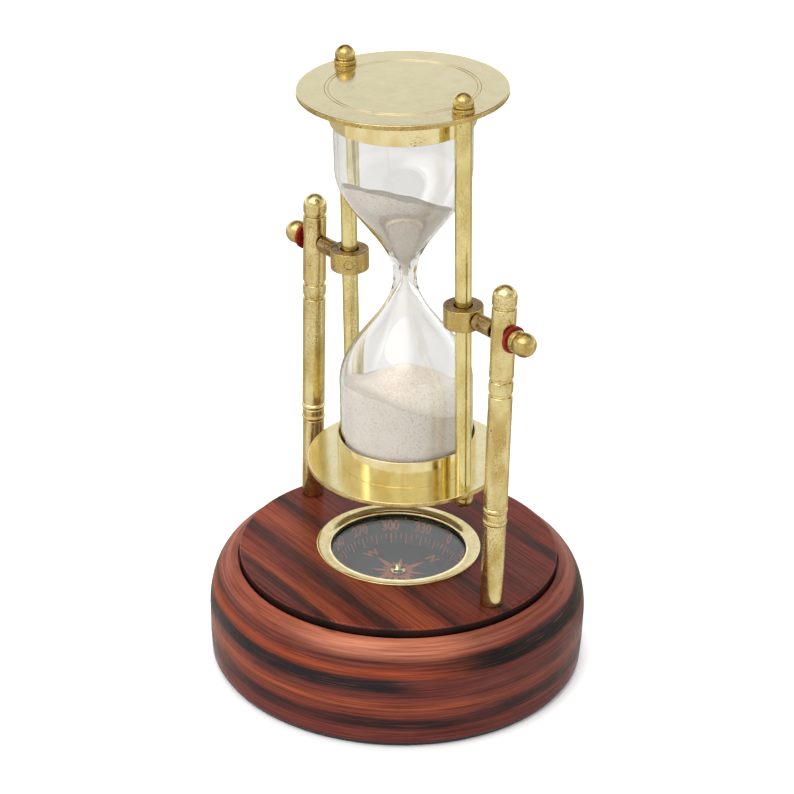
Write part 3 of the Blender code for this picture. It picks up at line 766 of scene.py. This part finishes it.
def post_outline():
    """Out under the foot, up the beads, grooves and shaft, and over the domed tip, above the floor."""
    foot = DISC_TOP + SEAT
    outline = [(0, foot), (2.95, foot, 0.3), (3.0, foot + 1.2), (2.95, 54.6, 0.1), (2.75, 54.75, 0.06)]
    outline += bead(54.9, 56.0, 2.98, 0.22)
    outline += [(2.75, 56.15, 0.06), (2.98, 56.4, 0.12), (3.0, 57.9, 0.12), (2.75, 58.1, 0.06)]
    outline += bead(58.3, 59.4, 3.0, 0.22)
    outline += [(2.8, 59.6, 0.06), (3.08, 59.9, 0.15), (3.1, 91.0, 0.2)] + notch(91.3)
    outline += bead(92.1, 95.1, 3.05, 0.12)
    outline += notch(95.4) + [(3.12, 96.2, 0.2), (POST_RADIUS, 114.8, 0.2)] + notch(115.0)
    outline += [(POST_RADIUS, 115.8, 0.2)]
    outline += arc(0, POST_TOP - POST_DOME, POST_RADIUS, POST_DOME, 0, 90, 16)[:-1]
    return outline + [(0, POST_TOP)]


def add_posts():
    for side, sign in SIDES:
        piece = lathe("turned_post_" + side, post_outline(), SMALL, at(sign * POST_X, 0, 0))
        drill(piece, BORE_RADIUS, -5.0, 5.0, at(sign * POST_X, 0, PIVOT_Z) @ along_x(1))
        dress(piece, "base", "aged", "post_" + side)


# ---- hourglass frame

def paint_faces(piece, look, low, high):
    """A second material for the faces whose normals' share along the frame's axis is in this range."""
    piece.data.materials.append(LOOKS[look])
    axis = (HOURGLASS.to_3x3() @ Vector((0, 0, 1))).normalized()
    for face in piece.data.polygons:
        if low <= abs(face.normal.dot(axis)) <= high + 0.001:
            face.material_index = 1


def groove(radius):
    """A narrow engraved line at this radius on a face at height 0, outermost point first."""
    half = ENGRAVED_WIDTH / 2
    return [(radius + half, 0, 0.03), (radius, -ENGRAVED_DEPTH, 0.03), (radius - half, 0, 0.03)]


def add_plate(side, outer_face, outward):
    profile = [(0, -PLATE_THICKNESS), (PLATE_RADIUS, -PLATE_THICKNESS, 0.22),
               (PLATE_RADIUS, 0, 0.28)]
    profile += groove(ENGRAVED_RINGS[1]) + groove(ENGRAVED_RINGS[0]) + [(0, 0)]
    place = HOURGLASS @ at(0, 0, outer_face)
    piece = lathe(side + "_end_plate", mirrored(profile, outward), EDGE_FINE, place)
    dress(piece, "hourglass", "sheet", side + "_plate")
    paint_faces(piece, "turned", 0.0, 0.7)


def add_cup(side, outer_face, outward):
    inner = CUP_RADIUS - CUP_WALL
    profile = [(0, 0), (CUP_RADIUS, 0, 0.12), (CUP_RADIUS, -CUP_HEIGHT, 0.2),
               (inner, -CUP_HEIGHT, 0.2), (inner, -CUP_WALL, 0.1), (0, -CUP_WALL)]
    place = HOURGLASS @ at(0, 0, outer_face - outward * (PLATE_THICKNESS + SEAT))
    piece = lathe(side + "_glass_cup", mirrored(profile, outward), FINE, place)
    dress(piece, "hourglass", "bright", side + "_cup")


def add_finial(side, hand, x, outer_face, outward):
    """An acorn nut: a collar ring, a groove and a dome."""
    profile = [(0, SEAT), (2.7, SEAT, 0.15), (FINIAL_RADIUS, 0.3, 0.15), (FINIAL_RADIUS, 1.15, 0.25),
               (2.2, 1.4, 0.08)]
    dome = 2.2
    profile += arc(0, dome, 2.6, FINIAL_HEIGHT - dome, -16, 90, 14)[:-1] + [(0, FINIAL_HEIGHT)]
    piece = lathe("acorn_" + side + "_" + hand, mirrored(profile, outward), SMALL,
                  HOURGLASS @ at(x, 0, outer_face))
    dress(piece, "hourglass", "turned", "finial_" + side + "_" + hand)


def add_rod(hand, x):
    profile = cylinder(ROD_RADIUS, PLATE_THICKNESS + SEAT - FRAME_DOWN, FRAME_UP - PLATE_THICKNESS - SEAT)
    piece = lathe("tie_rod_" + hand, profile, SMALL, HOURGLASS @ at(x, 0, 0), 0.1)
    dress(piece, "hourglass", "polished", "rod_" + hand)


def add_pivot(hand, sign):
    """One side's pivot: collar on the rod, its plug, spacer sleeve, fibre washer and ball knob."""
    half = COLLAR_HALF_HEIGHT
    rod_line = HOURGLASS @ at(sign * ROD_X, 0, 0)
    line = HOURGLASS @ along_x(sign)
    profile = [(COLLAR_BORE, -half, 0.15), (COLLAR_RADIUS, -half, 0.3), (COLLAR_RADIUS, half, 0.25),
               (COLLAR_BORE, half, 0.2)]
    collar = lathe("pivot_collar_" + hand, profile, COLLAR_STEPS, rod_line)
    drill(collar, BORE_RADIUS, 0.0, 8.0, rod_line @ along_x(sign))
    plug_line = rod_line @ Matrix.Rotation(math.radians(sign * PLUG_TURN), 4, "Z") @ along_x(sign)
    drill(collar, PLUG_RADIUS + 0.1, -8.0, 0.0, plug_line)
    dress(collar, "hourglass", "turned", "collar_" + hand)
    paint_faces(collar, "raw", 0.9, 1.0)
    plug_end = -ROD_RADIUS - 0.4
    plug = [(0, -COLLAR_RADIUS + 0.03), (PLUG_RADIUS, -COLLAR_RADIUS + 0.12, 0.1),
            (PLUG_RADIUS, plug_end), (0, plug_end)]
    piece = lathe("collar_plug_" + hand, plug, HOLE_STEPS, plug_line, 0.05)
    dress(piece, "hourglass", "turned", "collar_screw_" + hand)
    start = ROD_X + COLLAR_RADIUS + 0.2
    end = POST_X - POST_RADIUS - 0.35
    sleeve = lathe("sleeve_" + hand, ring(BORE_RADIUS, SPACER_RADIUS, start, end), SMALL, line, 0.2)
    dress(sleeve, "hourglass", "raw", "spacer_" + hand)
    post_face = POST_X + POST_RADIUS
    washer_end = post_face + GAP + WASHER_THICKNESS
    washer = lathe("red_washer_" + hand, ring(BORE_RADIUS, WASHER_RADIUS, post_face + 0.15, washer_end),
                   SMALL, line, 0.18)
    dress(washer, "hourglass", "fibre", "fibre_washer_" + hand)
    ball = KNOB_TIP - KNOB_BALL_RADIUS
    foot = washer_end + 0.03
    knob = [(0, foot), (2.85, foot, 0.15), (2.85, foot + 0.8, 0.2), (2.55, foot + 0.95, 0.08),
            (2.45, foot + 1.35, 0.1)]
    knob += arc(0, ball, KNOB_BALL_RADIUS, KNOB_BALL_RADIUS, -34, 90, 18)[:-1] + [(0, KNOB_TIP)]
    dress(lathe("ball_knob_" + hand, knob, SMALL, line), "hourglass", "turned", "knob_" + hand)


# ---- glass and sand

def bulb_radius(distance):
    """The glass's outer radius at this distance from the neck."""
    rise = 0.5 - 0.5 * math.cos(math.pi * min(distance / BULB_FLARE, 1.0))
    return NECK_RADIUS + (BULB_RADIUS - NECK_RADIUS) * rise


def bore_radius(distance):
    """The glass's inner radius. The wall thickens towards the neck."""
    extra = NECK_RADIUS - NECK_BORE - BULB_WALL
    return bulb_radius(distance) - BULB_WALL - extra * math.exp(-(distance / 5.0) ** 2)


GLASS_TOP_END = FRAME_UP - PLATE_THICKNESS - GLASS_INSET
GLASS_BOTTOM_END = PLATE_THICKNESS + GLASS_INSET - FRAME_DOWN


def add_glass():
    steps = 72
    stations = [BULB_FLARE * (i / steps) ** 1.5 for i in range(steps + 1)]
    side = BULB_RADIUS - BULB_CORNER
    inner = BULB_CORNER - BULB_WALL
    top, bottom = GLASS_TOP_END, GLASS_BOTTOM_END
    outline = [(FILL_HOLE, bottom)]
    outline += arc(side, bottom + BULB_CORNER, BULB_CORNER, BULB_CORNER, -90, 0, 8)
    outline += [(bulb_radius(t), NECK_Z - t) for t in reversed(stations)]
    outline += [(bulb_radius(t), NECK_Z + t) for t in stations[1:]]
    outline += arc(side, top - BULB_CORNER, BULB_CORNER, BULB_CORNER, 0, 90, 8)
    outline += [(0, top), (0, top - BULB_WALL)]
    outline += arc(side, top - BULB_CORNER, inner, inner, 90, 0, 8)
    outline += [(bore_radius(t), NECK_Z + t) for t in reversed(stations)]
    outline += [(bore_radius(t), NECK_Z - t) for t in stations[1:]]
    outline += arc(side, bottom + BULB_CORNER, inner, inner, 0, -90, 8)
    outline += [(FILL_HOLE, bottom + BULB_WALL)]
    dress(lathe("blown_bulb", outline, FINE, HOURGLASS, 0.1), "hourglass", "glass", "glass_bulb")


def sand_body(name, foot, radius_at, surface, columns=FINE, walls=90, inner=36):
    """Sand from its foot up the glass's wall, under a free surface given by its height at x, y."""
    vertices = [(0, 0, foot), (0, 0, surface(0.0, 0.0))]
    rows = []
    for step in range(columns):
        angle = math.tau * step / columns
        across = Vector((math.cos(angle), math.sin(angle)))
        rim = surface(0.0, 0.0)
        for _ in range(30):
            rim = surface(*(across * radius_at(rim)))
        points = []
        for i in range(walls + 1):
            height = foot + (rim - foot) * (i / walls) ** 1.5
            points.append((*(across * radius_at(height)), height))
        for i in range(1, inner + 1):
            place = across * radius_at(rim) * (1.0 - i / (inner + 1))
            points.append((*place, surface(*place)))
        rows.append(range(len(vertices), len(vertices) + len(points)))
        vertices += points
    faces = []
    for row, following in zip(rows, rows[1:] + rows[:1]):
        faces.append((0, following[0], row[0]))
        faces.append((1, row[-1], following[-1]))
        for i in range(len(row) - 1):
            faces.append((row[i], following[i], following[i + 1], row[i + 1]))
    return mesh_object(name, vertices, faces, HOURGLASS)


def ripple(x, y, seed):
    """Small unevenness of a poured surface, in millimetres."""
    broad = noise.noise(Vector((x * 0.16, y * 0.16, seed)))
    fine = noise.noise(Vector((x * 0.9, y * 0.9, seed + 5.0)))
    return 0.55 * broad + 0.1 * fine


def add_sand():
    floor = GLASS_BOTTOM_END + BULB_WALL + SAND_GAP
    corner = BULB_CORNER - BULB_WALL

    def inside(height):
        radius = bore_radius(abs(height - NECK_Z)) - SAND_GAP
        if height < floor + corner:
            rise = floor + corner - height
            radius += math.sqrt(max(corner ** 2 - rise ** 2, 0.0)) - corner
        return radius

    def upper_surface(x, y):
        crater = SAND_CRATER[0] * math.exp(-(x * x + y * y) / SAND_CRATER[1])
        return UPPER_SAND_LEVEL + UPPER_BANK[0] * x + UPPER_BANK[1] * y - crater + ripple(x, y, 1.0)

    def lower_surface(x, y):
        bank = LOWER_SAND_LEVEL - LOWER_BANK * y
        cone = LOWER_SAND_PEAK - SAND_REPOSE * math.sqrt(x * x + y * y + 2.0)
        joined = SAND_BLEND * math.log(math.exp(bank / SAND_BLEND) + math.exp(cone / SAND_BLEND))
        return joined + ripple(x, y, 9.0)

    upper = sand_body("poured_sand_upper", NECK_Z + UPPER_SAND_FOOT, inside, upper_surface)
    dress(upper, "hourglass", "sand", "upper_sand")
    lower = sand_body("poured_sand_lower", floor, inside, lower_surface)
    dress(lower, "hourglass", "sand", "lower_sand")


def add_hourglass():
    for side, outer_face, outward in (("top", FRAME_UP, 1), ("bottom", -FRAME_DOWN, -1)):
        add_plate(side, outer_face, outward)
        add_cup(side, outer_face, outward)
        for hand, sign in SIDES:
            add_finial(side, hand, sign * ROD_X, outer_face, outward)
    for hand, sign in SIDES:
        add_rod(hand, sign * ROD_X)
        add_pivot(hand, sign)
    add_glass()
    add_sand()


def dress_hidden_nodes():
    """Materials for the CAD nodes that stay as they are, inside other pieces."""
    looks = {"compass_pivot": "steel", "post_screw_left": "steel", "post_screw_right": "steel",
             "compass_magnet_west": "magnet", "compass_magnet_east": "magnet",
             "pivot_pin_left": "raw", "pivot_pin_right": "raw", "fill_plug": "cork",
             "top_glass_pad": "cork", "bottom_glass_pad": "cork"}
    for name, look in looks.items():
        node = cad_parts[name]
        node.data.materials.clear()
        node.data.materials.append(LOOKS[look])


# ---- studio

CAMERA_AZIMUTH = 49.7194      # degrees from the -Y side towards +X
CAMERA_ELEVATION = 26.17
CAMERA_ROLL = 1.3823
CAMERA_DISTANCE = 626.35
CAMERA_LENS = 110.51
AIM_HEIGHT = 101.6
AIM_RIGHT = -1.944
AIM_UP = -23.209

# Studio light, in metres
SKY_LOW = 0.1             # sine of the elevation where the room starts to brighten
SKY_HIGH = 0.85
SKY_DARK = 0.53
SKY_LIGHT = 0.92
HORIZON = 0.65            # extra light close to the horizon
HORIZON_LOW = 0.15
HORIZON_HIGH = 0.38
SKY_FRONT = 0.8           # share of all this on the camera's side
SKY_BEHIND = 1.2
SOFT_TURN = -35.0         # the soft light, round from the camera
SOFT_RISE = 45.0
SOFT_POWER = 2.3
OVERHEAD_PLACE = (-0.1, 0.12, 0.9)
OVERHEAD_SIZE = (0.4, 0.3)
OVERHEAD_POWER = 3.0
FLOOR_HALF = 3.0
FLOOR_DROP = 0.0001
CARD_START = 0.052        # just outside the base
CARD_STEPS = 24
CARDS = (                 # as add_card takes them
    ("grey_card_front", "glossy", 0.0, 100.0, CARD_START, 1.4, (0.55, 0.53, 0.48)),
    ("grey_card_back", "glossy", 180.0, 80.0, CARD_START, 1.4, (0.34, 0.31, 0.25)),
    ("grey_card_camera", "glossy", -15.0, 50.0, 0.9, 0.9, (0.60, 0.58, 0.53), 0.25, 0.75),
    ("dark_card_high", "glossy", 180.0, 75.0, 0.5, 0.5, (0.09, 0.07, 0.04), 0.42, 1.1),
    ("grey_card_round", "transmission", 0.0, 180.0, CARD_START, 2.5, (0.47, 0.465, 0.455)),
)


def direction(turn, elevation):
    """The unit vector at this angle round from the camera's azimuth and this height, in degrees."""
    azimuth, rise = math.radians(CAMERA_AZIMUTH - 90.0 + turn), math.radians(elevation)
    return Vector((math.cos(azimuth) * math.cos(rise), math.sin(azimuth) * math.cos(rise), math.sin(rise)))


def add_camera():
    roll = math.radians(CAMERA_ROLL)
    back = direction(0, CAMERA_ELEVATION)
    level = direction(90, 0)
    upright = back.cross(level)
    right = level * math.cos(roll) + upright * math.sin(roll)
    up = upright * math.cos(roll) - level * math.sin(roll)
    aim = Vector((0, 0, AIM_HEIGHT)) + right * AIM_RIGHT + up * AIM_UP
    data = bpy.data.cameras.new("camera")
    data.lens = CAMERA_LENS
    data.sensor_width = 36.0
    data.clip_start = 0.01
    camera = bpy.data.objects.new("camera", data)
    place = Matrix((right, up, back)).transposed().to_4x4()
    place.translation = (aim + back * CAMERA_DISTANCE) * MM
    camera.matrix_world = place
    bpy.context.scene.collection.objects.link(camera)
    bpy.context.scene.camera = camera


def add_overhead_light():
    """A soft light above and a little behind the base, too diffuse to leave a spot on the brass."""
    data = bpy.data.lights.new("overhead", "AREA")
    data.shape = "RECTANGLE"
    data.size, data.size_y = OVERHEAD_SIZE
    data.energy = OVERHEAD_POWER
    light = bpy.data.objects.new("overhead", data)
    light.location = OVERHEAD_PLACE
    toward = Vector((0, 0, POST_TOP / 2 * MM)) - light.location
    light.rotation_euler = toward.to_track_quat("-Z", "Y").to_euler()
    light.visible_glossy = False
    bpy.context.scene.collection.objects.link(light)


def add_world():
    """A soft white room: bright overhead, grey low down, and a broad soft light beside the camera."""
    world = bpy.data.worlds.new("studio")
    bpy.context.scene.world = world
    world.use_nodes = True
    tree = world.node_tree
    place = tree.nodes.new("ShaderNodeTexCoord").outputs["Generated"]

    def lobe(toward, low, high, dark, light):
        """Light that changes from dark to light as a direction nears this one."""
        near = tree.nodes.new("ShaderNodeVectorMath")
        near.operation = "DOT_PRODUCT"
        near.inputs[1].default_value = toward
        tree.links.new(place, near.inputs[0])
        spread = tree.nodes.new("ShaderNodeMapRange")
        spread.interpolation_type = "SMOOTHSTEP"
        for socket, value in zip(("From Min", "From Max", "To Min", "To Max"), (low, high, dark, light)):
            spread.inputs[socket].default_value = value
        tree.links.new(near.outputs["Value"], spread.inputs["Value"])
        return spread.outputs[0]

    def calc(operation, a, b):
        node = tree.nodes.new("ShaderNodeMath")
        node.operation = operation
        tree.links.new(a, node.inputs[0])
        tree.links.new(b, node.inputs[1])
        return node.outputs[0]

    sky = lobe(direction(0, 90), SKY_LOW, SKY_HIGH, SKY_DARK, SKY_LIGHT)
    sky = calc("ADD", sky, lobe(direction(0, 90), HORIZON_LOW, HORIZON_HIGH, HORIZON, 0.0))
    sky = calc("MULTIPLY", sky, lobe(direction(0, 0), -0.2, 0.9, SKY_BEHIND, SKY_FRONT))
    soft = lobe(direction(SOFT_TURN, SOFT_RISE), 0.70, 0.97, 0.0, SOFT_POWER)
    background = tree.nodes["Background"]
    background.inputs["Color"].default_value = WHITE
    tree.links.new(calc("ADD", sky, soft), background.inputs["Strength"])


def dull_sheet(name, vertices, faces, tone):
    """A dull flat sheet for the studio, with no figure in it."""
    mesh = bpy.data.meshes.new(name)
    mesh.from_pydata(vertices, [], faces)
    values = {"Roughness": 1.0, "Specular IOR Level": 0.0, "Base Color": (*tone, 1)}
    mesh.materials.append(Look(name + "_look", values).material)
    sheet = bpy.data.objects.new(name, mesh)
    bpy.context.scene.collection.objects.link(sheet)
    return sheet


def add_floor():
    half = FLOOR_HALF
    corners = [(-half, -half, 0), (half, -half, 0), (half, half, 0), (-half, half, 0)]
    floor = dull_sheet("floor", corners, [(0, 1, 2, 3)], (0.96, 0.96, 0.96))
    floor.location.z = -FLOOR_DROP


def add_card(name, seen_by, turn, half_spread, near, far, tone, low=0.0005, high=None):
    """A card that only one kind of ray sees: a sector of the floor, turned round from the camera.

    With a second height and one distance it stands up as a curved wall instead.
    """
    count = CARD_STEPS
    ways = [direction(turn + half_spread * (2 * i / count - 1), 0) for i in range(count + 1)]
    first = [(near * way.x, near * way.y, low) for way in ways]
    second = [(far * way.x, far * way.y, high or low) for way in ways]
    faces = [(i, i + 1, i + count + 2, i + count + 1) for i in range(count)]
    card = dull_sheet(name, first + second, faces, tone)
    for ray in ("camera", "diffuse", "glossy", "shadow", "transmission", "volume_scatter"):
        setattr(card, "visible_" + ray, ray == seen_by)


def add_studio():
    add_camera()
    add_world()
    add_floor()
    for card in CARDS:
        add_card(*card)
    add_overhead_light()
    settings = bpy.context.scene.view_settings
    settings.view_transform = "Standard"
    settings.look = "None"


add_base()
add_compass_housing()
add_compass_card()
add_posts()
add_hourglass()
dress_hidden_nodes()
add_studio()
